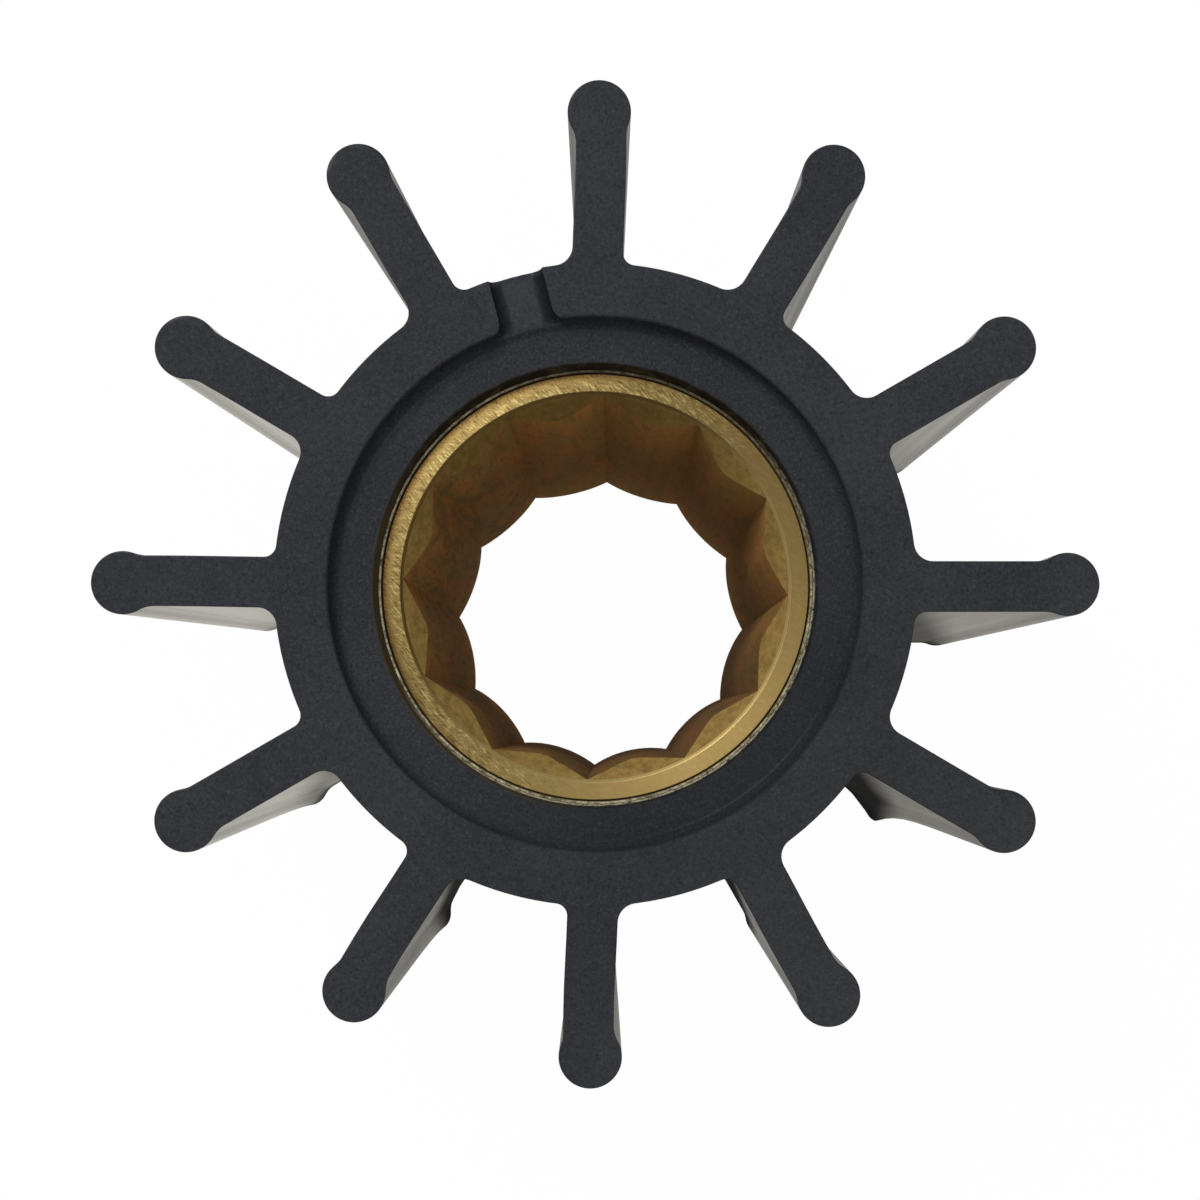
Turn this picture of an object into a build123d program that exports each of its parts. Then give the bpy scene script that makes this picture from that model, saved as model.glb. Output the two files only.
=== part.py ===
from build123d import *

import os
from math import radians, tan

# A flexible pump impeller: a rubber hub with bulb-tipped blades, moulded round
# a splined brass bush. It stands on one end face at Z = 0 with its axis on +Z,
# and the first blade points along +X. Lengths in millimetres, angles in degrees.

# Whole impeller
tip_diameter = 95.2
width = 63.5
blade_count = 12

# Splined bore: lobes that bulge towards the axis and meet in sharp roots
lobe_count = 12
root_diameter = 37.1
lobe_height = 1.55
spline_angle = -2.5  # from the first blade to the nearest root
mouth_bevel = 0.4
lead_in_angle = 30.0  # from the bore's axis

# Brass bush, outwards from the roots of the bore
bush_wall = 2.35
bush_setback = 3.0  # from each end face of the rubber
rim_width = 0.28
rim_groove_width = 0.22
rim_groove_depth = 0.4
key_count = 12
key_diameter = 2.4
key_inset = 9.0  # from the end face of the bush to the end of a keyway

# Recess in each end of the hub, outwards from the bush
lip_slope = 0.3
lip_bevel = 0.35
inner_floor_width = 1.6
floor_step = 0.2
outer_floor_width = 1.0
recess_corner = 0.9
recess_depth = 1.7

# Ring round the recess, and the blades that stand on it
ring_width = 4.95
stem_thickness = 4.8
stem_offset = 0.2  # each stem trails the middle of its bulb by this much
bulb_diameter = 6.0
neck_blend = 3.0
root_blend = 1.6

# Vent slot across the ring of the upper end, midway between two blades
slot_position = 3.5  # in blade spacings from the first blade
slot_width = 5.2
slot_depth = 1.2
slot_corner = 1.0

root_radius = root_diameter / 2
crest_radius = root_radius - lobe_height
lobe_spacing = 360 / lobe_count
bush_radius = root_radius + bush_wall
bush_length = width - 2 * bush_setback
bush_top = width - bush_setback
lip_radius = bush_radius + lip_slope + lip_bevel
step_radius = lip_radius + inner_floor_width
outer_floor_radius = step_radius + floor_step + outer_floor_width
recess_radius = outer_floor_radius + recess_corner
hub_radius = recess_radius + ring_width
bulb_reach = (tip_diameter - bulb_diameter) / 2
mid_plane = Plane.XY.offset(width / 2)


def at_radius(radius):
    return lambda vertex: abs(Vector(vertex.X, vertex.Y).length - radius) < 0.001


# One blade in plan: a straight stem blended into the round bulb at its tip.
stem_start = hub_radius - stem_thickness
with BuildSketch() as blade_plan:
    with Locations((bulb_reach, 0)):
        Circle(bulb_diameter / 2)
    with Locations((stem_start, -stem_offset)):
        Rectangle(bulb_reach - stem_start, stem_thickness, align=(Align.MIN, Align.CENTER))
    necks = blade_plan.vertices().filter_by_position(Axis.X, hub_radius, bulb_reach - stem_offset)
    fillet(necks, neck_blend)

# The hub with all its blades in plan, blended at every root.
with BuildSketch() as star_plan:
    Circle(hub_radius)
    with PolarLocations(0, blade_count):
        add(blade_plan.sketch)
    fillet(star_plan.vertices().filter_by(at_radius(hub_radius)), root_blend)

# The space inside the rubber: recess, stepped floor, lip, and the bush's seat.
outer_floor_z = width - recess_depth
inner_floor_z = outer_floor_z - floor_step
with BuildPart() as core_space:
    with BuildSketch(Plane.XZ):
        with BuildLine():
            Polyline(
                (0, width),
                (recess_radius, width),
                (recess_radius, outer_floor_z + recess_corner),
                (outer_floor_radius, outer_floor_z),
                (step_radius + floor_step, outer_floor_z),
                (step_radius, inner_floor_z),
                (lip_radius, inner_floor_z),
                (lip_radius - lip_bevel, inner_floor_z - lip_bevel),
                (bush_radius, bush_top),
                (bush_radius, width / 2),
                (0, width / 2),
                close=True,
            )
        make_face()
    revolve(axis=Axis.Z)
    mirror(about=mid_plane)

# The vent slot: straight sides that flare into the recess, and a round floor.
slot_plane = Plane.XY.offset(width).rotated((0, 0, slot_position * 360 / blade_count))
with BuildPart() as slot_space:
    with BuildSketch(slot_plane) as slot_plan:
        Circle(recess_radius)
        Rectangle(tip_diameter / 2, slot_width, align=(Align.MIN, Align.CENTER))
        fillet(slot_plan.vertices().filter_by(at_radius(recess_radius)), slot_corner)
    extrude(amount=-slot_depth)
    fillet(slot_space.faces().sort_by(Axis.Z)[0].edges(), slot_corner)

# Keyways in the outside of the bush, which the rubber fills.
with BuildPart() as keys:
    with BuildSketch(Plane.XY.offset(bush_setback + key_inset)):
        with PolarLocations(bush_radius, key_count, start_angle=spline_angle + lobe_spacing / 2):
            Circle(key_diameter / 2)
    extrude(amount=bush_length - 2 * key_inset)

with BuildPart() as rubber_body:
    add(star_plan.sketch)
    extrude(amount=width)
    add(core_space.part, mode=Mode.SUBTRACT)
    add(slot_space.part, mode=Mode.SUBTRACT)
    add(keys.part)

# The bush in plan, with its lobed bore.
with BuildSketch(Plane.XY.offset(bush_setback)) as bush_plan:
    Circle(bush_radius)
    with BuildLine():
        for lobe in range(lobe_count):
            start = spline_angle + lobe * lobe_spacing
            ThreePointArc(
                Vector(root_radius).rotate(Axis.Z, start),
                Vector(crest_radius).rotate(Axis.Z, start + lobe_spacing / 2),
                Vector(root_radius).rotate(Axis.Z, start + lobe_spacing),
            )
    make_face(mode=Mode.SUBTRACT)

# What is turned away at each end of the bush: a bevel and a tapered lead-in at
# the mouth of the bore, and a fine groove that leaves a thin outer rim.
lead_in_depth = root_radius / tan(radians(lead_in_angle))
groove_radius = bush_radius - rim_width - rim_groove_width
with BuildPart() as end_cuts:
    with BuildSketch(Plane.XZ):
        with BuildLine():
            Polyline(
                (0, bush_top),
                (root_radius + mouth_bevel, bush_top),
                (root_radius, bush_top - mouth_bevel),
                (0, bush_top - mouth_bevel - lead_in_depth),
                close=True,
            )
        make_face()
        with Locations((groove_radius, bush_top)):
            Rectangle(rim_groove_width, rim_groove_depth, align=(Align.MIN, Align.MAX))
    revolve(axis=Axis.Z)
    mirror(about=mid_plane)

with BuildPart() as splined_bush:
    add(bush_plan.sketch)
    extrude(amount=bush_length)
    add(end_cuts.part, mode=Mode.SUBTRACT)
    add(keys.part, mode=Mode.SUBTRACT)

os.makedirs("parts", exist_ok=True)
rubber_body.part.label = "rubber_body"
splined_bush.part.label = "splined_bush"
export_step(rubber_body.part, "parts/rubber_body.step")
export_step(splined_bush.part, "parts/splined_bush.step")
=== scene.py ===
from math import asin, atan2, cos, degrees, hypot, pi, radians, sin, sqrt, tan

import bmesh
import bpy
from mathutils import Matrix, Vector
from mathutils.geometry import delaunay_2d_cdt


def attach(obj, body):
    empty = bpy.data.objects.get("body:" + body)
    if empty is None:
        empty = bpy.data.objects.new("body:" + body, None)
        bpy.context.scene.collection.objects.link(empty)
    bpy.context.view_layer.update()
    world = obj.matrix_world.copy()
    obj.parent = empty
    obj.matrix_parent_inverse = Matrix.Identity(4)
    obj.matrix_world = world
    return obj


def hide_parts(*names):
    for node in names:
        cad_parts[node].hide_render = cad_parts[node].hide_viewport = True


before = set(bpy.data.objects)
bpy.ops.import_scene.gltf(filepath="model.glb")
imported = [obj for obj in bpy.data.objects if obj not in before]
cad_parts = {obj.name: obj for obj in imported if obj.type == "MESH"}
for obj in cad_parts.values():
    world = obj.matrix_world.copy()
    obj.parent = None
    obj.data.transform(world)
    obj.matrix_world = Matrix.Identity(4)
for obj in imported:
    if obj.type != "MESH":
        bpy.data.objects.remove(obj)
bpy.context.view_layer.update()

# ---------------------------------------------------------------------------
# Sizes of the impeller, in millimetres and degrees, with its axis on Z
# ---------------------------------------------------------------------------

MM = 0.001
weld_gap = 0.002 * MM

width = 63.5
blade_count = 12
hub_radius = 30.35
bulb_radius = 3.0
bulb_reach = 44.6
stem_thickness = 4.8
stem_offset = 0.2
neck_blend = 3.0
root_blend_leading = 1.8
root_blend_trailing = 1.2
moulded_edge = 0.14

# The recess in each end face, from the edge of the ring in to the bush
band_radius = 26.9
recess_radius = 25.25
recess_round = 0.4
recess_draft = 0.08
recess_depth = 1.7
recess_fillet = 1.25
step_radius = 23.15
step_run = 0.4
step_height = 0.084
step_round = 0.3
lip_radius = 21.25
lip_round = 0.25
lip_rise = 0.1
lip_gap = 0.02
seat_overlap = 0.01
seat_depth = 0.6

# The vent slot across the ring of the upper end face
slot_angle = 105.0
slot_half_width = 2.6
slot_depth = 1.2
slot_fillet = 1.2
slot_flare = 1.1
slot_turn = -0.5

# The bush and the convex lobes of its bore
bush_radius = 20.9
bush_setback = 3.0
lobe_count = 12
root_radius = 18.55
lobe_height = 1.55
spline_angle = -2.5
lobe_round = 0.6
mouth_bevel = 0.3
lead_in_angle = 30.0
rim_width = 0.28
rim_roughness = 0.1
groove_width = 0.17
groove_depth = 0.4

sector = 360 / blade_count
slot_floor = width - slot_depth
groove_outer = bush_radius - rim_width
groove_inner = groove_outer - groove_width

# Each soft blade has taken a little set: degrees at the upper end and the lower end,
# which fade out over a span of distance from the blade's middle line
blade_set = [
    (0.0, 0.3), (0.0, 0.9), (-0.3, 0.6), (-0.5, 0.2), (0.1, -2.6), (-0.1, -2.6),
    (-0.2, -2.8), (0.0, -2.3), (-0.7, -1.6), (-0.6, -1.4), (-0.4, -0.1), (-0.1, 0.6),
]
set_fades = (4.0, 7.0)

# Some tips are spread on one side at the lower end: blade, side and millimetres. The
# spread grows and ends over spans of distance from the axis, starts over a span of
# distance from the blade's middle line, and fades up the blade by a power
spread_tips = {7: (1, 0.5), 8: (1, 0.5), 11: (-1, 1.9)}
spread_grows = (38.0, 44.4)
spread_ends = (44.8, 46.6)
spread_starts = (1.2, 2.6)
spread_fade = 7


# ---------------------------------------------------------------------------
# Node trees written as expressions
# ---------------------------------------------------------------------------

class Wire:
    """A socket of a node tree. Arithmetic on it adds Math nodes."""

    def __init__(self, graph, socket):
        self.graph = graph
        self.socket = socket

    def maths(self, operation, *others, clamp=False):
        sockets = dict(enumerate((self,) + others))
        settings = {"operation": operation, "use_clamp": clamp}
        return self.graph.node("ShaderNodeMath", settings, sockets)[0]

    def __add__(self, other):
        return self.maths("ADD", other)

    def __radd__(self, other):
        return self.maths("ADD", other)

    def __sub__(self, other):
        return self.maths("SUBTRACT", other)

    def __rsub__(self, other):
        return (self * -1.0).maths("ADD", other)

    def __mul__(self, other):
        return self.maths("MULTIPLY", other)

    def __rmul__(self, other):
        return self.maths("MULTIPLY", other)

    def __truediv__(self, other):
        return self.maths("DIVIDE", other)

    def __rtruediv__(self, other):
        return self.maths("POWER", -1.0).maths("MULTIPLY", other)

    def __neg__(self):
        return self * -1.0

    def __abs__(self):
        return self.maths("ABSOLUTE")

    def sine(self):
        return self.maths("SINE")

    def cosine(self):
        return self.maths("COSINE")

    def root(self):
        return self.maths("SQRT")

    def least(self, other):
        return self.maths("MINIMUM", other)

    def most(self, other):
        return self.maths("MAXIMUM", other)

    def clamped(self):
        return self.maths("ADD", 0.0, clamp=True)

    def rise(self, low, high):
        """0 below low, 1 above high, and a smooth ramp between them."""
        settings = {"interpolation_type": "SMOOTHSTEP"}
        sockets = {"Value": self, "From Min": low, "From Max": high}
        return self.graph.node("ShaderNodeMapRange", settings, sockets)["Result"]

    def band(self, low, high, soft):
        """1 between low and high, fading to 0 over soft on either side."""
        return self.rise(low - soft, low) * (1.0 - self.rise(high, high + soft))


class Outlets:
    """The outputs of a node, read by name, identifier or place."""

    def __init__(self, graph, node):
        self.graph = graph
        self.node = node

    def __getitem__(self, key):
        return Wire(self.graph, socket_of(self.node.outputs, key))


def socket_of(sockets, key):
    if isinstance(key, int):
        return sockets[key]
    for socket in sockets:
        if socket.identifier == key:
            return socket
    return sockets[key]


class Graph:
    """A node tree that is filled one node at a time."""

    def __init__(self, tree):
        self.tree = tree

    def node(self, kind, settings=None, sockets=None):
        node = self.tree.nodes.new(kind)
        for name, value in (settings or {}).items():
            setattr(node, name, value)
        for key, value in (sockets or {}).items():
            socket = socket_of(node.inputs, key)
            if isinstance(value, Wire):
                self.tree.links.new(value.socket, socket)
            else:
                socket.default_value = value
        return Outlets(self, node)

    def mixed(self, factor, first, second):
        sockets = {"Factor_Float": factor, "A_Color": first, "B_Color": second}
        return self.node("ShaderNodeMix", {"data_type": "RGBA"}, sockets)["Result_Color"]

    def mottle(self, place, scale, detail=3.0, roughness=0.55, distortion=0.0):
        sockets = {
            "Vector": place,
            "Scale": scale,
            "Detail": detail,
            "Roughness": roughness,
            "Distortion": distortion,
        }
        return self.node("ShaderNodeTexNoise", {}, sockets)["Fac"]

    def stretched(self, place, scale):
        return self.node("ShaderNodeMapping", {}, {"Vector": place, "Scale": scale})["Vector"]

    def vector(self, x, y, z):
        return self.node("ShaderNodeCombineXYZ", {}, {"X": x, "Y": y, "Z": z})["Vector"]

    def parts(self, vector):
        parted = self.node("ShaderNodeSeparateXYZ", {}, {0: vector})
        return parted[0], parted[1], parted[2]

    def millimetres(self, place):
        """X, Y, Z and the distance from the axis, of a place given in metres."""
        x, y, z = (part * (1 / MM) for part in self.parts(place))
        return x, y, z, (x * x + y * y).root()

    def bumped(self, height, strength, distance, normal=None):
        sockets = {"Height": height, "Strength": strength, "Distance": distance}
        if normal:
            sockets["Normal"] = normal
        return self.node("ShaderNodeBump", {}, sockets)["Normal"]


def srgb(red, green, blue):
    """A colour given as it looks on a screen, 0 to 255, as the shader wants it."""
    parts = []
    for value in (red, green, blue):
        value = value / 255
        parts.append(value / 12.92 if value <= 0.04045 else ((value + 0.055) / 1.055) ** 2.4)
    return (*parts, 1.0)


def new_material(name):
    material = bpy.data.materials.new(name)
    material.use_nodes = True
    material.node_tree.nodes.clear()
    return material, Graph(material.node_tree)


def finish_material(graph, surface):
    graph.node("ShaderNodeOutputMaterial", {}, {"Surface": surface})


# ---------------------------------------------------------------------------
# Finishes
# ---------------------------------------------------------------------------

def end_face_rubber(g, place, at, facing, inner):
    """Dull speckled rubber, with painted shade in the recess, on the lower side and in the
    slot's corners.
    """
    x, y, z, radius = at
    upper_left = (y * 0.82 - x * 0.57) / radius
    patches = g.mottle(place, 90.0, 4.0, 0.6)
    grain = g.mottle(place, 3600.0, 3.0, 0.7)
    specks = g.mottle(place, 6200.0, 1.0, 0.5).rise(0.7, 0.8)
    dull = g.mixed(patches.rise(0.35, 0.65), srgb(49, 50, 53), srgb(54, 55, 58))
    # Painted shade gives the recess floor and the slot floor a darker colour
    recess_floor_shade = g.mixed(patches.rise(0.3, 0.7), srgb(45, 47, 50), srgb(50, 52, 55))
    in_recess = 1.0 - radius.rise(recess_radius - 0.95, recess_radius - 0.05)
    in_recess = in_recess.most(z.band(slot_floor - 0.5, slot_floor + 0.3, 0.2))
    colour = g.mixed(in_recess, dull, recess_floor_shade)
    colour = g.mixed(grain.rise(0.5, 0.8) * 0.85, colour, srgb(70, 71, 75))
    colour = g.mixed((1.0 - grain.rise(0.25, 0.5)) * 0.75, colour, srgb(30, 30, 33))
    colour = g.mixed(specks * 0.4, colour, srgb(100, 102, 107))
    # Painted shade darkens the lower side of the end face, more so in the recess
    lower_side_shade = (1.0 - upper_left.rise(-1.0, -0.2)) * (0.12 + in_recess * 0.2)
    colour = g.mixed(lower_side_shade, colour, srgb(18, 18, 22))
    # Painted shade darkens the recess wall and its fillet on the upper left
    tilt = facing + (grain - 0.5) * 0.12
    recess_wall_shade = (1.0 - tilt.rise(0.6, 0.97)) * upper_left.rise(-0.9, 0.3) * inner
    colour = g.mixed(recess_wall_shade * 0.25, colour, srgb(16, 16, 18))

    # Painted shade darkens the vent slot along both sides of its floor, and a painted highlight
    # lightens its middle a little
    middle = radians(slot_angle + slot_turn)
    across = abs(y * cos(middle) - x * sin(middle))
    in_slot = z.band(slot_floor - 0.5, width - 0.1, 0.1) * inner * y.rise(0.0, 1.0)
    in_slot = in_slot * radius.rise(recess_radius - 0.35, recess_radius + 0.45)
    in_slot = in_slot * (1.0 - across.rise(slot_half_width + 0.1, slot_half_width + 0.2))
    level_width = slot_half_width - slot_fillet
    shaded_slot_sides = across.rise(level_width - 0.2, level_width + 0.38)
    colour = g.mixed(in_slot * shaded_slot_sides * 0.5, colour, srgb(12, 12, 14))
    colour = g.mixed(in_slot * (1.0 - shaded_slot_sides) * 0.06, colour, srgb(120, 121, 126))

    # A brown stain from the bush spreads over the lip, with painted shade that makes it darkest
    # at the top and dark grey on the lower right
    smudge = g.mottle(place, 700.0, 4.0, 0.7)
    stain = 1.0 - (radius + (smudge - 0.5) * 0.7).rise(lip_radius - 0.15, lip_radius + 0.25)
    stain_and_shade = g.mixed((-x / radius).rise(-0.2, 0.7), srgb(38, 39, 43), srgb(72, 60, 41))
    stain_and_shade = g.mixed((y / radius).rise(0.2, 0.7), stain_and_shade, srgb(40, 34, 24))
    stain_and_shade = g.mixed(smudge.rise(0.5, 0.62) * 0.4, stain_and_shade, srgb(84, 74, 50))
    colour = g.mixed(stain * 0.95, colour, stain_and_shade)

    # Pale dust clings to the edge of the lip, kept to the lower-right side away from the stain,
    # where it also stands in as a painted highlight
    dust_and_highlight = 1.0 - radius.rise(bush_radius + 0.06, bush_radius + 0.18)
    dust_and_highlight = dust_and_highlight * (1.0 - upper_left.rise(-0.5, 0.3))
    dust_and_highlight = dust_and_highlight * g.mottle(place, 1700.0, 4.0, 0.8).rise(0.36, 0.56)
    return g.mixed(dust_and_highlight * 0.9, colour, srgb(196, 188, 158)), patches, grain, recess_wall_shade


def wall_gloss_and_painted_light(g, place, at, wall):
    """Glossy mould walls with streaks. The gloss is raised on the left as painted light, and
    taken off deep in the gaps of the lower blades and along the far edge as painted shade.
    """
    x, y, z, radius = at
    depth = (radius - 32.0) / 15.0 + z / width
    lower = (x * 0.34 - y * 0.94) / radius
    # Painted shade takes the coat off deep in the gaps of the lower blades and near the far
    # edge
    deep_gap_shade = (1.0 - depth.rise(0.8, 1.14)) * lower.rise(-0.3, 0.75) * wall
    far_edge_shade = (1.0 - z.rise(0.8, 7.5)) * (0.35 + lower.rise(-0.6, 0.4) * 0.65)
    streaks = g.mottle(g.stretched(place, (300.0, 300.0, 20.0)), 1.0, 4.0, 0.6)
    # Painted light: the coat is raised on the left walls, and a little on the upper right ones
    left = -x / radius
    lit = 0.4 + left.rise(0.45, 0.95) * 0.55 + streaks.rise(0.3, 0.7) * 0.14
    lit = lit + (1.0 - left.rise(-0.95, -0.6)) * (y / radius).rise(-0.4, 0.0) * 0.2
    return wall * lit * (1.0 - deep_gap_shade * 0.94) * (1.0 - far_edge_shade * 0.75)


def make_rubber():
    """Black moulded rubber: dull end faces inside the hub's edge, and glossy walls outside."""
    material, g = new_material("moulded_rubber")
    where = g.node("ShaderNodeTexCoord")
    place = where["Object"]
    facing = abs(g.parts(where["Normal"])[2])
    at = g.millimetres(place)
    inner = 1.0 - at[3].rise(hub_radius - 0.65, hub_radius - 0.25)
    wall = (1.0 - facing.rise(0.55, 0.9)) * (1.0 - inner)
    sloped = (1.0 - facing.rise(0.9, 0.99)) * inner
    face_colour, patches, grain, recess_wall_shade = end_face_rubber(g, place, at, facing, inner)
    wall_colour = g.mixed(patches, srgb(45, 45, 46), srgb(50, 50, 51))
    # The end faces have a light coat, left off their sloped parts as painted shade that keeps a
    # highlight off the recess fillets
    gloss_and_painted_light = wall_gloss_and_painted_light(g, place, at, wall) + (1.0 - wall) * (1.0 - sloped) * 0.12
    roughness = 0.68 + grain * 0.2 + recess_wall_shade * 0.14 + wall * 0.1
    sockets = {
        "Base Color": g.mixed(wall, face_colour, wall_colour),
        "Roughness": roughness.clamped(),
        "Normal": g.bumped(grain, 0.4, 0.1 * MM),
        "Specular IOR Level": 0.0,
        "Coat Weight": gloss_and_painted_light.clamped(),
        "Coat Roughness": 0.2,
        "Coat IOR": 1.5,
        "IOR": 1.5,
    }
    finish_material(g, g.node("ShaderNodeBsdfPrincipled", {}, sockets)["BSDF"])
    return material


def toward(at, angle):
    """1 on the side of the bush at this angle, -1 on the side across from it."""
    x, y, _, radius = at
    return (x * cos(radians(angle)) + y * sin(radians(angle))) / radius


def file_marks(g, place, at):
    """Scratches that all run one way over the end ring, with a few across them."""
    x, y, z, _ = at
    wander = g.mottle(place, 300.0, 2.0) * 0.6
    over = (x + y) * sqrt(0.5) + wander
    along = (x - y) * sqrt(0.5)
    filed = g.mottle(g.vector(over * 6.0, along * 0.85, z * 0.3), 1.0, 4.0, 0.8)
    crossed = g.mottle(g.vector(x * 0.9, y * 4.8, z * 0.3), 1.0, 3.0, 0.7)
    return filed, filed * 0.75 + crossed * 0.25


def end_ring_brass(g, place, at, filed, scratches, worn, bevel):
    """Filed brass with painted shade on its right side, tarnish and painted shade at its outer
    edge, and a painted lit and shaded bevel at the mouth.
    """
    radius = at[3]
    ring = g.mixed(g.mottle(place, 150.0, 3.0), srgb(154, 130, 78), srgb(168, 144, 90))
    # Painted shade darkens the ring on its right side
    ring = g.mixed(toward(at, 15.0).rise(0.2, 1.0) * 0.35, ring, srgb(106, 84, 48))
    dark_marks = (1.0 - scratches.rise(0.38, 0.49)) * worn
    light_marks = scratches.rise(0.51, 0.62) * worn
    ring = g.mixed(dark_marks * 0.9, ring, srgb(98, 72, 30))
    ring = g.mixed(light_marks * 0.9, ring, srgb(232, 210, 140))
    ragged = radius + (filed - 0.5) * 3.0
    # The outer edge goes tan with tarnish, and dark on the upper left with tarnish and painted
    # shade
    stain_and_shade = toward(at, 145.0).rise(0.0, 0.7)
    tan_edge = ragged.rise(groove_inner - 0.85, groove_inner - 0.15) * stain_and_shade
    tarnish_and_shade_edge = ragged.rise(groove_inner - 0.45, groove_inner + 0.05) * stain_and_shade
    ring = g.mixed(tan_edge * 0.45, ring, srgb(140, 98, 42))
    ring = g.mixed(tarnish_and_shade_edge * 0.85, ring, srgb(72, 50, 28))
    # The bevel is painted lit on the lower right and shaded on the upper left
    shaded = toward(at, 130.0).rise(-0.4, 0.5)
    ring = g.mixed(bevel, ring, g.mixed(shaded, srgb(206, 182, 122), srgb(116, 94, 52)))
    # Painted shade: a thin dark line at the outer edge of the bevel, darkest at the top
    upper = toward(at, 110.0).rise(-0.2, 0.5)
    line = radius.band(root_radius + 0.17, root_radius + 0.21, 0.03)
    return g.mixed(line * 0.5, ring, g.mixed(upper, srgb(120, 94, 50), srgb(60, 46, 24)))


def bore_brass(g, place, at, tooth_end, bore, ring):
    """Olive tooth ends with painted shade towards the top, and tarnish and grime drawn out
    along the oxidised bore.
    """
    long_place = g.stretched(place, (1.0, 1.0, 0.2))
    speckle = g.mottle(long_place, 2200.0, 3.0, 0.65)
    # Painted shade darkens the tooth ends towards the top
    tooth_end_top_shade = toward(at, 104.0).rise(0.25, 0.95)
    blotches = g.mottle(place, 900.0, 5.0, 0.7)
    olive = g.mixed(blotches.rise(0.3, 0.7), srgb(142, 117, 62), srgb(176, 146, 83))
    olive = g.mixed(speckle.rise(0.5, 0.7) * 0.35, olive, srgb(100, 78, 36))
    olive = g.mixed(tooth_end_top_shade * 0.6, olive, srgb(92, 64, 30))

    tarnish = g.mottle(long_place, 520.0, 6.0, 0.7).rise(0.36, 0.66)
    grime = g.mottle(long_place, 330.0, 6.0, 0.7, 1.5).rise(0.46, 0.62)
    brown = g.mixed(tarnish, srgb(134, 108, 52), srgb(166, 108, 48))
    brown = g.mixed(grime * 0.5, brown, srgb(96, 72, 36))
    brown = g.mixed(speckle.rise(0.5, 0.7) * 0.5, brown, srgb(84, 62, 30))
    # The bore is darker towards the lower right and lighter towards the upper right
    brown = g.mixed(toward(at, -60.0).rise(0.1, 1.0) * 0.45, brown, srgb(70, 52, 28))
    brown = g.mixed(toward(at, 50.0).rise(0.1, 0.9) * 0.2, brown, srgb(200, 150, 76))
    return g.mixed(bore, g.mixed(tooth_end, ring, olive), brown), tarnish


def make_brass():
    """Brass: a filed end ring, olive tooth ends and a brown oxidised bore."""
    material, g = new_material("turned_brass")
    where = g.node("ShaderNodeTexCoord")
    place = where["Object"]
    facing = abs(g.parts(where["Normal"])[2])
    at = g.millimetres(place)
    radius = at[3]
    turned_part = radius.rise(root_radius - 0.02, root_radius + 0.02) * facing.rise(0.3, 0.5)
    flat_start = root_radius + mouth_bevel
    flat = turned_part * radius.rise(flat_start - 0.04, flat_start - 0.01)
    tooth_end = facing.rise(0.25, 0.4) * (1.0 - turned_part)
    bore = 1.0 - (turned_part + tooth_end).clamped()
    groove_shade = radius.band(groove_inner + 0.02, groove_outer - 0.02, 0.03)
    rim = radius.rise(groove_outer, groove_outer + 0.06)

    filed, scratches = file_marks(g, place, at)
    worn = toward(at, 150.0).rise(-0.45, 0.3) * 0.9 + 0.1
    ring = end_ring_brass(g, place, at, filed, scratches, worn, turned_part - flat)
    colour, tarnish = bore_brass(g, place, at, tooth_end, bore, ring)
    fleck = g.mottle(place, 1500.0, 5.0, 0.8)
    # The rim is pale with dust, and painted shade darkens it towards the upper right
    rim_dust_and_shade = g.mixed(fleck.rise(0.34, 0.66), srgb(84, 76, 56), srgb(204, 196, 166))
    rim_dust_and_shade = g.mixed(toward(at, 60.0).rise(0.4, 0.95) * 0.75, rim_dust_and_shade, srgb(58, 50, 38))
    colour = g.mixed(rim, colour, rim_dust_and_shade)
    # Painted shade: the groove is coloured near black
    colour = g.mixed(groove_shade * 0.92, colour, srgb(22, 19, 15))

    roughness = 0.36 + scratches * 0.16 + tooth_end * 0.16 + bore * 0.42 + rim * 0.2
    metal = (0.9 - bore * 0.8 - tooth_end * 0.4 - rim * 0.4) * (1.0 - groove_shade)
    shallow = g.bumped(scratches * worn * turned_part, 0.4, 0.08 * MM)
    pitted = g.bumped(tarnish * bore + fleck * rim, 0.3, 0.1 * MM, shallow)
    sockets = {
        "Base Color": colour,
        "Roughness": roughness.clamped(),
        "Metallic": metal.clamped(),
        "Normal": pitted,
        "Specular IOR Level": 0.15,
        "Anisotropic": 0.55,
        "Anisotropic Rotation": 0.25,
    }
    finish_material(g, g.node("ShaderNodeBsdfPrincipled", {}, sockets)["BSDF"])
    return material


def make_white_floor():
    """A pale floor that shows white to the eye and keeps a soft shadow."""
    material, g = new_material("pale_floor")
    ray = g.node("ShaderNodeLightPath")
    seen = ray["Is Camera Ray"].most(ray["Is Transmission Ray"]) * 0.985
    seen = seen.most(ray["Is Glossy Ray"] * 0.7).most(0.3)
    warm = g.mixed(ray["Is Glossy Ray"], srgb(255, 255, 255), srgb(255, 250, 238))
    paper = g.mottle(g.node("ShaderNodeTexCoord")["Object"], 30.0)
    tone = g.mixed(paper, srgb(236, 236, 236), srgb(240, 240, 240))
    card = g.node("ShaderNodeBsdfDiffuse", {}, {"Color": tone})["BSDF"]
    glow = g.node("ShaderNodeEmission", {}, {"Color": warm, "Strength": 1.0})
    sockets = {0: seen, 1: card, 2: glow["Emission"]}
    finish_material(g, g.node("ShaderNodeMixShader", {}, sockets)["Shader"])
    return material


# ---------------------------------------------------------------------------
# Mesh helpers
# ---------------------------------------------------------------------------

def polar(radius, angle):
    """A point of the plane by its radius and its angle in radians."""
    return Vector((radius * cos(angle), radius * sin(angle)))


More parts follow.
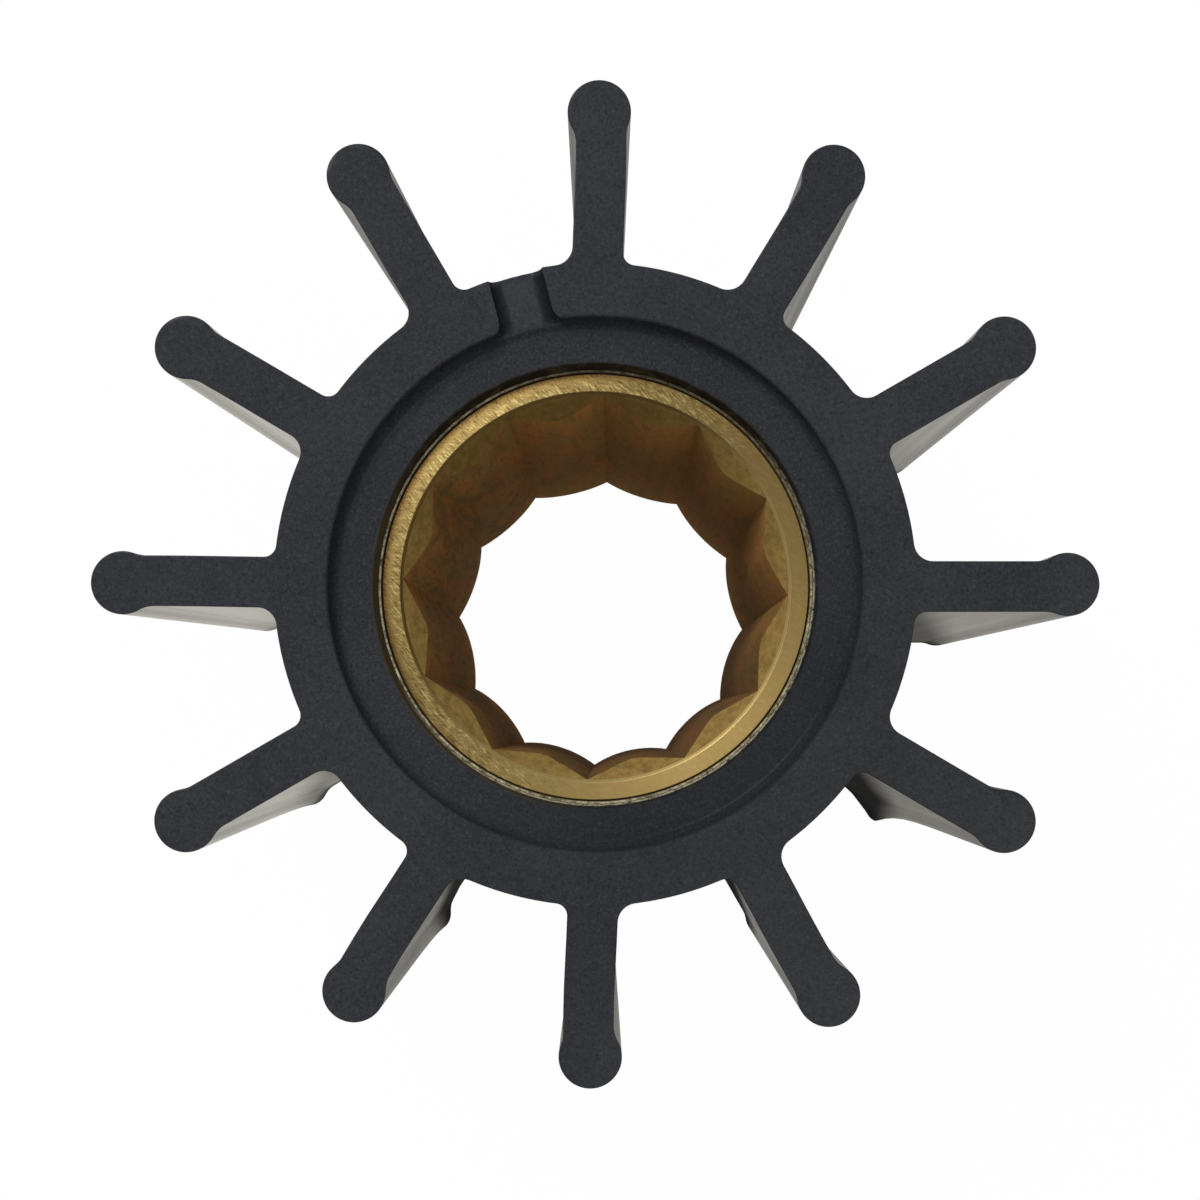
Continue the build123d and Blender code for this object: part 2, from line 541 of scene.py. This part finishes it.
def arc(centre, radius, start, end, steps, inward=False):
    """Points and outward directions along an arc, from start to end, in radians."""
    places = []
    for step in range(steps + 1):
        direction = polar(1.0, start + (end - start) * step / steps)
        outward = -direction if inward else direction
        places.append((centre + direction * radius, outward))
    return places


def rounded_path(corners, steps=6):
    """A line through (across, up, rounding) corners, each replaced by an arc."""
    points = []
    for index, (across, up, rounding) in enumerate(corners):
        here = Vector((across, up))
        if rounding == 0:
            points.append(here)
            continue
        before = (Vector(corners[index - 1][:2]) - here).normalized()
        after = (Vector(corners[index + 1][:2]) - here).normalized()
        opening = before.angle(after)
        middle = (before + after).normalized()
        centre = here + middle * rounding / sin(opening / 2)
        reach = rounding / tan(opening / 2)
        start = here + before * reach - centre
        end = here + after * reach - centre
        for step in range(steps + 1):
            share = step / steps
            swing = start.angle_signed(end) * -share
            points.append(centre + Matrix.Rotation(swing, 2) @ start)
    return points


def object_from(name, mesh, material=None):
    """A new object in the scene round this mesh."""
    item = bpy.data.objects.new(name, mesh)
    bpy.context.scene.collection.objects.link(item)
    if material:
        mesh.materials.clear()
        mesh.materials.append(material)
    return item


def settled(source, name):
    """The evaluated shape of an object as a plain mesh object, in place of it."""
    bpy.context.view_layer.update()
    evaluated = source.evaluated_get(bpy.context.evaluated_depsgraph_get())
    mesh = bpy.data.meshes.new_from_object(evaluated)
    old = source.data
    bpy.data.objects.remove(source)
    bpy.data.meshes.remove(old)
    return object_from(name, mesh)


def close_up(mesh, gap, sharp):
    """Merges doubles, drops flat slivers and shades smooth between sharp edges."""
    work = bmesh.new()
    work.from_mesh(mesh)
    bmesh.ops.remove_doubles(work, verts=work.verts, dist=gap)
    bmesh.ops.dissolve_degenerate(work, edges=work.edges, dist=gap)
    bmesh.ops.recalc_face_normals(work, faces=work.faces)
    work.to_mesh(mesh)
    work.free()
    mesh.shade_smooth()
    mesh.set_sharp_from_angle(angle=radians(sharp))
    mesh.update()


def weigh_normals(item):
    """Lets the large flat faces lead the shading of the roundings beside them."""
    modifier = item.modifiers.new("flat_faces_lead", "WEIGHTED_NORMAL")
    modifier.keep_sharp = True
    modifier.weight = 60
    return item


# ---------------------------------------------------------------------------
# Moulded rubber body
# ---------------------------------------------------------------------------

def half_blade(side, root_blend):
    """One edge of a blade from its tip to the hub, for a blade along +X."""
    bulb = Vector((bulb_reach, 0.0))
    neck_up = side + neck_blend
    neck = Vector((bulb_reach - sqrt((bulb_radius + neck_blend) ** 2 - neck_up**2), neck_up))
    lean = atan2(neck.y, neck.x - bulb_reach)
    root_up = side + root_blend
    root = Vector((sqrt((hub_radius + root_blend) ** 2 - root_up**2), root_up))
    hub_meet = atan2(root.y, root.x)
    line = arc(bulb, bulb_radius, 0.0, lean, 22)
    line += arc(neck, neck_blend, lean + pi, 1.5 * pi, 7, inward=True)
    for share in (0.2, 0.4, 0.6, 0.8):
        line.append((Vector((neck.x + (root.x - neck.x) * share, side)), Vector((0.0, 1.0))))
    line += arc(root, root_blend, 1.5 * pi, pi + hub_meet, 9, inward=True)
    return line, hub_meet


def turned(pair, angle, flip=False):
    """A point and its outward direction, turned about the axis and mirrored if asked."""
    turn = Matrix.Rotation(angle, 2)
    point, outward = pair
    if flip:
        point = Vector((point.x, -point.y))
        outward = Vector((outward.x, -outward.y))
    return turn @ point, turn @ outward


def gap_outline(hub_angles):
    """The outer edge from the tip of one blade, round the gap, to the next tip."""
    first, start = half_blade(stem_thickness / 2 - stem_offset, root_blend_leading)
    second, end = half_blade(stem_thickness / 2 + stem_offset, root_blend_trailing)
    step = radians(sector)
    line = list(first)
    spacing = 0.002
    for angle in hub_angles:
        if start + spacing < angle < step - end - spacing:
            line.append((polar(hub_radius, angle), polar(1.0, angle)))
    line += [turned(pair, step, flip=True) for pair in reversed(second)]
    clean = [line[0]]
    for pair in line[1:]:
        if (pair[0] - clean[-1][0]).length > 0.004:
            clean.append(pair)
    return clean


def slot_opening(radius):
    """Half the width of the vent slot where it crosses a circle about the axis."""
    inside = radius - recess_radius
    if inside >= slot_flare:
        return slot_half_width
    inside = max(inside, 0.0)
    return slot_half_width + slot_flare - sqrt(slot_flare**2 - (slot_flare - inside) ** 2)


def slot_dip(point):
    """How far the vent slot lowers the end face at a point of its own sector."""
    middle = radians(sector / 2 + slot_turn)
    across = -point.x * sin(middle) + point.y * cos(middle)
    inside = slot_opening(point.length) - abs(across)
    if inside <= 0:
        return 0.0
    if inside >= slot_fillet:
        return slot_depth
    return slot_depth * sqrt(1 - (1 - inside / slot_fillet) ** 2)


def no_dip(point):
    """The dip of an end face without the slot."""
    return 0.0


def plain_columns():
    """Evenly spaced columns across a sector without the slot."""
    steps = 22
    return [(share / steps, None) for share in range(steps + 1)]


def slot_columns():
    """Columns across the slot's sector: a share of the way, or a place across it."""
    inside = [0.988, 0.97, 0.94, 0.9, 0.86, 0.8, 0.74, 0.68, 0.62, 0.56, 0.5, 0.35, 0.18]
    across = [-1.0] + [-value for value in inside] + [0.0] + inside[::-1] + [1.0]
    shaded_slot_sides = 12
    columns = [(share / shaded_slot_sides, -1) for share in range(shaded_slot_sides)]
    columns += [(value, 0) for value in across]
    columns += [(share / shaded_slot_sides, 1) for share in range(1, shaded_slot_sides + 1)]
    return columns


def column_angle(column, radius):
    """The angle of a column where it crosses a circle about the axis, in radians."""
    share, part = column
    step = radians(sector)
    if part is None:
        return share * step
    middle = step / 2 + radians(slot_turn)
    edge = asin(slot_opening(radius) / radius)
    if part == 0:
        return middle + asin(share * slot_opening(radius) / radius)
    if part < 0:
        return share * (middle - edge)
    return middle + edge + share * (step - middle - edge)


def recess_profile():
    """Radius and height of the recess below the end face, from the ring inwards."""
    lip_depth = recess_depth + step_height
    corners = [
        (band_radius, 0.0, 0.0),
        (recess_radius, 0.0, recess_round),
        (recess_radius - recess_draft, -recess_depth, recess_fillet),
        (step_radius + step_run, -recess_depth, step_round),
        (step_radius, -lip_depth, step_round),
        (lip_radius, -lip_depth, lip_round),
        (bush_radius + lip_gap, -bush_setback + lip_rise, 0.0),
        (bush_radius - seat_overlap, -bush_setback - seat_depth, 0.0),
    ]
    points = rounded_path(corners, 7)
    band = band_radius - recess_radius
    extra = [Vector((band_radius - band * share, 0.0)) for share in (0.25, 0.5, 0.75)]
    return [points[0]] + extra + points[1:]


def end_face(work, outline, columns, dip, slot_here):
    """The recess, ring and blade tops of one sector, at height 0 and below."""
    profile = recess_profile()
    rows = []
    for column in columns:
        row = []
        for place in profile:
            point = polar(place.x, column_angle(column, max(place.x, recess_radius)))
            height = place.y
            if place.x > recess_radius - recess_fillet:
                height = min(height, -dip(point))
            row.append(work.verts.new((point.x, point.y, height)))
        rows.append(row)
    for left, right in zip(rows, rows[1:]):
        for k in range(len(profile) - 1):
            work.faces.new((left[k], right[k], right[k + 1], left[k + 1]))

    edge = [(point - outward * moulded_edge, -dip(point)) for point, outward in outline]
    inner = [(Vector(row[0].co[:2]), row[0].co.z) for row in rows]
    loop = edge + inner[::-1]
    flat = [point for point, height in loop]
    heights = [height for point, height in loop]
    borders = [(k, (k + 1) % len(loop)) for k in range(len(loop))]
    if slot_here:
        middle = radians(sector / 2 + slot_turn)
        along, over = polar(1.0, middle), polar(1.0, middle + pi / 2)
        for column in columns:
            if column[1] != 0:
                continue
            across = column[0] * slot_half_width
            reach = sqrt((hub_radius - moulded_edge) ** 2 - across**2)
            base = sqrt(band_radius**2 - across**2)
            line = []
            for share in (0.2, 0.4, 0.6, 0.8):
                point = along * (base + (reach - base) * share) + over * across
                line.append(len(flat))
                flat.append(point)
                heights.append(-slot_dip(point))
            borders += list(zip(line, line[1:]))
    found = delaunay_2d_cdt(flat, borders, [list(range(len(loop)))], 1, 0.0001)
    points, faces, from_point = found[0], found[2], found[3]
    made = []
    for point, sources in zip(points, from_point):
        height = heights[sources[0]] if sources else -dip(point)
        made.append(work.verts.new((point.x, point.y, height)))
    for face in faces:
        work.faces.new([made[k] for k in face])


def mould_walls(work, outline, dip):
    """The walls between the end faces, with a small rounding at each end."""
    angles = [pi / 2 * step / 4 for step in range(5)]
    bend = [(1 - sin(angle), 1 - cos(angle)) for angle in angles]
    levels = [0.06, 0.14, 0.24, 0.36, 0.5, 0.64, 0.76, 0.86, 0.94]
    rings = []
    for point, outward in outline:
        top = width - dip(point)
        ring = []
        for inset, drop in bend:
            place = point - outward * moulded_edge * inset
            ring.append(work.verts.new((place.x, place.y, top - moulded_edge * drop)))
        for share in levels:
            height = top - moulded_edge - (top - 2 * moulded_edge) * share
            ring.append(work.verts.new((point.x, point.y, height)))
        for inset, drop in bend[::-1]:
            place = point - outward * moulded_edge * inset
            ring.append(work.verts.new((place.x, place.y, moulded_edge * drop)))
        rings.append(ring)
    for left, right in zip(rings, rings[1:]):
        for k in range(len(left) - 1):
            work.faces.new((left[k], left[k + 1], right[k + 1], right[k]))


def bush_seat(work, columns):
    """The wall that lies on the bush, between the feet of the two lips."""
    foot = recess_profile()[-1]
    seat = []
    for column in columns:
        point = polar(foot.x, column_angle(column, recess_radius))
        seat.append([
            work.verts.new((point.x, point.y, width + foot.y)),
            work.verts.new((point.x, point.y, -foot.y)),
        ])
    for left, right in zip(seat, seat[1:]):
        work.faces.new((left[0], right[0], right[1], left[1]))


def rubber_sector(slot_here):
    """One gap of the impeller with half a blade on each side, as a closed skin."""
    columns = slot_columns() if slot_here else plain_columns()
    dip = slot_dip if slot_here else no_dip
    outline = gap_outline([column_angle(column, hub_radius) for column in columns])
    work = bmesh.new()
    end_face(work, outline, columns, dip, slot_here)
    for vertex in work.verts:
        vertex.co.z += width
    below = bmesh.new()
    end_face(below, outline, columns, no_dip, False)
    for vertex in below.verts:
        vertex.co.z = -vertex.co.z
    spare = bpy.data.meshes.new("lower_end")
    below.to_mesh(spare)
    below.free()
    work.from_mesh(spare)
    bpy.data.meshes.remove(spare)

    mould_walls(work, outline, dip)
    bush_seat(work, columns)
    bmesh.ops.remove_doubles(work, verts=work.verts, dist=0.0015)
    for vertex in work.verts:
        vertex.co *= MM
    mesh = bpy.data.meshes.new("slot_sector" if slot_here else "plain_sector")
    work.to_mesh(mesh)
    work.free()
    return mesh


def sector_ring_tree():
    """Geometry Nodes: one sector repeated round the Z axis, with one place left."""
    tree = bpy.data.node_groups.new("ring_of_blades", "GeometryNodeTree")
    face = tree.interface
    face.new_socket("Sector", in_out="INPUT", socket_type="NodeSocketGeometry")
    face.new_socket("Blades", in_out="INPUT", socket_type="NodeSocketInt")
    face.new_socket("Place left for the slot", in_out="INPUT", socket_type="NodeSocketInt")
    face.new_socket("Rubber", in_out="INPUT", socket_type="NodeSocketMaterial")
    face.new_socket("Ring", in_out="OUTPUT", socket_type="NodeSocketGeometry")
    g = Graph(tree)
    given = g.node("NodeGroupInput")
    number = g.node("GeometryNodeInputIndex")["Index"]
    turn = g.vector(0.0, 0.0, number * (2 * pi) / given["Blades"])
    points = g.node("GeometryNodePoints", {}, {"Count": given["Blades"]})["Points"]
    settings = {"data_type": "INT", "operation": "NOT_EQUAL"}
    sockets = {"A_INT": number, "B_INT": given["Place left for the slot"]}
    kept = g.node("FunctionNodeCompare", settings, sockets)["Result"]
    sockets = {
        "Points": points,
        "Selection": kept,
        "Instance": given["Sector"],
        "Rotation": turn,
    }
    copies = g.node("GeometryNodeInstanceOnPoints", {}, sockets)["Instances"]
    real = g.node("GeometryNodeRealizeInstances", {}, {"Geometry": copies})["Geometry"]
    joined = g.node("GeometryNodeMergeByDistance", {}, {"Geometry": real, "Distance": weld_gap})
    sockets = {"Geometry": joined["Geometry"], "Material": given["Rubber"]}
    coated = g.node("GeometryNodeSetMaterial", {}, sockets)
    g.node("NodeGroupOutput", {}, {"Ring": coated["Geometry"]})
    return tree


def set_inputs(modifier, values):
    """Gives the inputs of a node tree's modifier their values, by name."""
    for item in modifier.node_group.interface.items_tree:
        if item.in_out == "INPUT" and item.name in values:
            modifier[item.identifier] = values[item.name]


def eased(value, low, high):
    """0 below low, 1 above high, and a smooth ramp between them."""
    share = min(max((value - low) / (high - low), 0.0), 1.0)
    return share * share * (3 - 2 * share)


def bend_blades(mesh):
    """Turns each blade by its own set, and spreads the tips that are out of shape."""
    bend_start, bend_full = hub_radius - 2, hub_radius + 10
    for vertex in mesh.vertices:
        x, y, z = vertex.co / MM
        reach = hypot(x, y)
        if reach < bend_start:
            continue
        angle = degrees(atan2(y, x)) % 360
        place = round(angle / sector) % blade_count
        off = (angle - place * sector + 180) % 360 - 180
        aside = reach * abs(sin(radians(off)))
        upper, lower = blade_set[place]
        lean = upper + (lower - upper) * (1 - z / width)
        lean *= eased(reach, bend_start, bend_full) * (1 - eased(aside, *set_fades))
        side, spread = spread_tips.get(place, (1, 0.0))
        if off * side > 0:
            spread *= eased(reach, *spread_grows) * (1 - eased(reach, *spread_ends))
            spread *= (1 - z / width) ** spread_fade * eased(aside, *spread_starts)
            lean += side * degrees(spread / reach)
        turn = Matrix.Rotation(radians(lean), 2)
        vertex.co.x, vertex.co.y = turn @ Vector(vertex.co[:2])


def make_rubber_body(rubber):
    """Eleven plain sectors and the one with the slot, closed and bent as worn."""
    slot_place = int(slot_angle // sector)
    source = object_from("sector_source", rubber_sector(False))
    modifier = source.modifiers.new("ring", "NODES")
    modifier.node_group = sector_ring_tree()
    set_inputs(modifier, {
        "Blades": blade_count,
        "Place left for the slot": slot_place,
        "Rubber": rubber,
    })
    body = settled(source, "moulded_rubber_body")
    slotted = rubber_sector(True)
    slotted.transform(Matrix.Rotation(radians(slot_place * sector), 4, "Z"))
    work = bmesh.new()
    work.from_mesh(body.data)
    work.from_mesh(slotted)
    work.to_mesh(body.data)
    work.free()
    bpy.data.meshes.remove(slotted)
    body.data.materials.clear()
    body.data.materials.append(rubber)
    bend_blades(body.data)
    close_up(body.data, 0.003 * MM, 34.0)
    return weigh_normals(body)


# ---------------------------------------------------------------------------
# Splined brass bush
# ---------------------------------------------------------------------------

def bush_tree():
    """Geometry Nodes: a closed profile swept round the axis, lobed in its bore."""
    tree = bpy.data.node_groups.new("splined_bush_shape", "GeometryNodeTree")
    face = tree.interface
    sizes = [
        "Outer radius", "Root radius", "Lobe height", "Lobe rounding", "Spline turn",
        "Mouth bevel", "Lead-in slope", "Face height", "Middle height", "Rim width",
        "Groove width", "Groove depth", "Rim roughness",
    ]
    for name in sizes:
        face.new_socket(name, in_out="INPUT", socket_type="NodeSocketFloat")
    face.new_socket("Lobes", in_out="INPUT", socket_type="NodeSocketInt")
    face.new_socket("Columns in a lobe", in_out="INPUT", socket_type="NodeSocketInt")
    face.new_socket("Seed", in_out="INPUT", socket_type="NodeSocketInt")
    face.new_socket("Brass", in_out="INPUT", socket_type="NodeSocketMaterial")
    face.new_socket("Bush", in_out="OUTPUT", socket_type="NodeSocketGeometry")
    g = Graph(tree)
    given = g.node("NodeGroupInput")
    outer, top, middle = given["Outer radius"], given["Face height"], given["Middle height"]
    root, slope, bevel = given["Root radius"], given["Lead-in slope"], given["Mouth bevel"]
    crest = root - given["Lobe height"]

    # Deep in the bore a lobe is an arc from root to root
    half_turn = pi / given["Lobes"]
    climb = root * half_turn.sine()
    rise = root * half_turn.cosine() - crest
    bulge = (climb * climb + rise * rise) / (rise * 2.0)
    centre = crest + bulge

    # At the upper mouth it has a straight flank from each root, rounded where they meet
    apex = crest - given["Lobe rounding"] * 0.25
    flank_turn = (root * half_turn.cosine() - apex).maths("ARCTAN2", climb)
    flank_reach = apex * flank_turn.cosine()

    # A flat grid gives each point its turn about the axis and its row of the profile
    u, v, _ = g.parts(g.node("GeometryNodeInputPosition")["Position"])
    columns = given["Lobes"] * given["Columns in a lobe"]
    turn = (u + 0.5) * (2 * pi)
    within = ((u + 0.5) * given["Lobes"]).maths("FRACT") - 0.5
    local = within * 2.0 * half_turn
    flank = flank_reach / (local + flank_turn).cosine()
    other_flank = flank_reach / (local - flank_turn).cosine()
    sharp_lobe = flank.maths("SMOOTH_MAX", other_flank, given["Lobe rounding"])
    lean = centre * local.sine()
    round_lobe = centre * local.cosine() - (bulge * bulge - lean * lean).root()

    # Rows of the profile: the steps to each stop, its radius and its height
    groove_out = outer - given["Rim width"]
    groove_in = groove_out - given["Groove width"]
    hair = 0.01 * MM

    def half_stops(lobe):
        return [
            (0, outer, middle),
            (1, outer, top - 30 * hair),
            (2, outer - 4 * hair, top - 3 * hair),
            (2, groove_out + 5 * hair, top),
            (2, groove_out - hair, top - 12 * hair),
            (1, groove_out - 2 * hair, top - given["Groove depth"]),
            (1, groove_in + 2 * hair, top - given["Groove depth"]),
            (1, groove_in, top - 3 * hair),
            (1, groove_in - 4 * hair, top),
            (6, root + bevel + 3 * hair, top),
            (1, root + bevel - 3 * hair, top - 3 * hair),
            (2, root, top - bevel),
            (6, lobe, top - bevel - (root - lobe) * slope),
            (8, round_lobe, middle),
        ]

    stops = half_stops(sharp_lobe)
    lower = half_stops(round_lobe)
    for k in range(len(lower) - 1, 0, -1):
        steps, reach, height = lower[k][0], lower[k - 1][1], lower[k - 1][2]
        stops.append((steps, reach, 2.0 * middle - height))
    rows = sum(stop[0] for stop in stops)
    row = (v + 0.5) * float(rows)
    reach, height = stops[0][1], stops[0][2]
    passed = 0
    for before, stop in zip(stops, stops[1:]):
        share = ((row - float(passed)) / float(stop[0])).clamped()
        reach = reach + (stop[1] - before[1]) * share
        height = height + (stop[2] - before[2]) * share
        passed += stop[0]

    # The rim is left rough, as it was parted off
    noise_place = g.vector(turn.cosine() * 34.0, turn.sine() * 34.0, row * 0.7)
    sockets = {"Vector": noise_place, "W": given["Seed"], "Scale": 1.0, "Detail": 3.0}
    wander = g.node("ShaderNodeTexNoise", {"noise_dimensions": "4D"}, sockets)["Fac"] - 0.5
    mirrored_row = (row - float(rows) / 2).maths("ABSOLUTE") * -1.0 + float(rows) / 2
    on_rim = mirrored_row.rise(2.5, 3.5) * (1.0 - mirrored_row.rise(7.4, 8.4))
    drop = (wander - 0.12).least(0.0) * given["Rim roughness"] * on_rim
    side = (middle - height).maths("SIGN") * -1.0
    reach = reach + wander * given["Rim roughness"] * 0.5 * on_rim
    height = height + drop * side

    angle = turn + given["Spline turn"]
    target = g.vector(reach * angle.cosine(), reach * angle.sine(), height)
    grid = {"Size X": 1.0, "Size Y": 1.0, "Vertices X": columns + 1.0, "Vertices Y": rows + 1}
    sheet = g.node("GeometryNodeMeshGrid", {}, grid)["Mesh"]
    placed = g.node("GeometryNodeSetPosition", {}, {"Geometry": sheet, "Position": target})
    sockets = {"Geometry": placed["Geometry"], "Distance": weld_gap}
    joined = g.node("GeometryNodeMergeByDistance", {}, sockets)["Geometry"]
    real = g.node("GeometryNodeRealizeInstances", {}, {"Geometry": joined})["Geometry"]
    sockets = {"Geometry": real, "Material": given["Brass"]}
    coated = g.node("GeometryNodeSetMaterial", {}, sockets)
    g.node("NodeGroupOutput", {}, {"Bush": coated["Geometry"]})
    return tree


def make_bush(brass):
    """The swept bush as a plain mesh, in brass."""
    source = object_from("bush_source", bpy.data.meshes.new("bush_source"))
    modifier = source.modifiers.new("bush", "NODES")
    modifier.node_group = bush_tree()
    set_inputs(modifier, {
        "Outer radius": bush_radius * MM,
        "Root radius": root_radius * MM,
        "Lobe height": lobe_height * MM,
        "Lobe rounding": lobe_round * MM,
        "Spline turn": radians(spline_angle),
        "Mouth bevel": mouth_bevel * MM,
        "Lead-in slope": 1 / tan(radians(lead_in_angle)),
        "Face height": (width - bush_setback) * MM,
        "Middle height": width / 2 * MM,
        "Rim width": rim_width * MM,
        "Groove width": groove_width * MM,
        "Groove depth": groove_depth * MM,
        "Rim roughness": rim_roughness * MM,
        "Lobes": lobe_count,
        "Columns in a lobe": 40,
        "Seed": 7,
        "Brass": brass,
    })
    bush = settled(source, "splined_brass_bush")
    bush.data.materials.clear()
    bush.data.materials.append(brass)
    close_up(bush.data, 0.003 * MM, 24.0)
    return weigh_normals(bush)


# ---------------------------------------------------------------------------
# Floor, light and camera
# ---------------------------------------------------------------------------

def make_floor():
    """A wide pale floor under the lower end face."""
    work = bmesh.new()
    reach = 2.5
    signs = ((-1, -1), (1, -1), (1, 1), (-1, 1))
    work.faces.new([work.verts.new((x * reach, y * reach, 0.0)) for x, y in signs])
    mesh = bpy.data.meshes.new("floor")
    work.to_mesh(mesh)
    work.free()
    floor = object_from("floor", mesh, make_white_floor())


def make_world(strength):
    """A white room that looks full white and lights the impeller at this strength."""
    world = bpy.data.worlds.new("soft_room")
    bpy.context.scene.world = world
    world.use_nodes = True
    world.node_tree.nodes.clear()
    g = Graph(world.node_tree)
    ray = g.node("ShaderNodeLightPath")
    seen = ray["Is Camera Ray"].most(ray["Is Transmission Ray"])
    level = seen * (1.0 - strength) + strength
    white = srgb(255, 255, 255)
    glow = g.node("ShaderNodeBackground", {}, {"Color": white, "Strength": level})
    g.node("ShaderNodeOutputWorld", {}, {"Surface": glow["Background"]})


def make_lamp(name, place, aim, size, power):
    """A round soft lamp, with its place and aim in metres and its power in watts."""
    lamp = bpy.data.lights.new(name, "AREA")
    lamp.shape = "DISK"
    lamp.size = size
    lamp.energy = power
    item = bpy.data.objects.new(name, lamp)
    bpy.context.scene.collection.objects.link(item)
    item.location = place
    item.rotation_mode = "QUATERNION"
    item.rotation_quaternion = (Vector(aim) - Vector(place)).to_track_quat("-Z", "Y")


def make_camera(place):
    """A camera that looks straight down, with its axis moved off the middle by a lens shift."""
    image = 1200.0
    axis_across, axis_down = 615.0, 723.2
    camera = bpy.data.cameras.new("camera")
    camera.sensor_width = 36.0
    camera.lens = 48.8
    camera.shift_x = (image / 2 - axis_across) / image
    camera.shift_y = (axis_down - image / 2) / image
    camera.clip_start, camera.clip_end = 0.01, 10.0
    item = bpy.data.objects.new("camera", camera)
    bpy.context.scene.collection.objects.link(item)
    item.location = place
    bpy.context.scene.camera = item


make_camera((0.00187, -0.0131, 0.2169))
bpy.context.scene.view_settings.view_transform = "Standard"

rubber = make_rubber()
brass = make_brass()

rubber_body = make_rubber_body(rubber)
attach(rubber_body, "root")
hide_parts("rubber_body")

splined_bush = make_bush(brass)
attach(splined_bush, "root")
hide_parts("splined_bush")

make_floor()
make_world(0.42)
lamp_aim = (0.0, 0.0, 0.04)
make_lamp("key_light", (-0.35, 0.5, 0.75), lamp_aim, 0.4, 5.0)
make_lamp("fill_light", (0.3, -0.25, 0.8), lamp_aim, 0.6, 1.2)
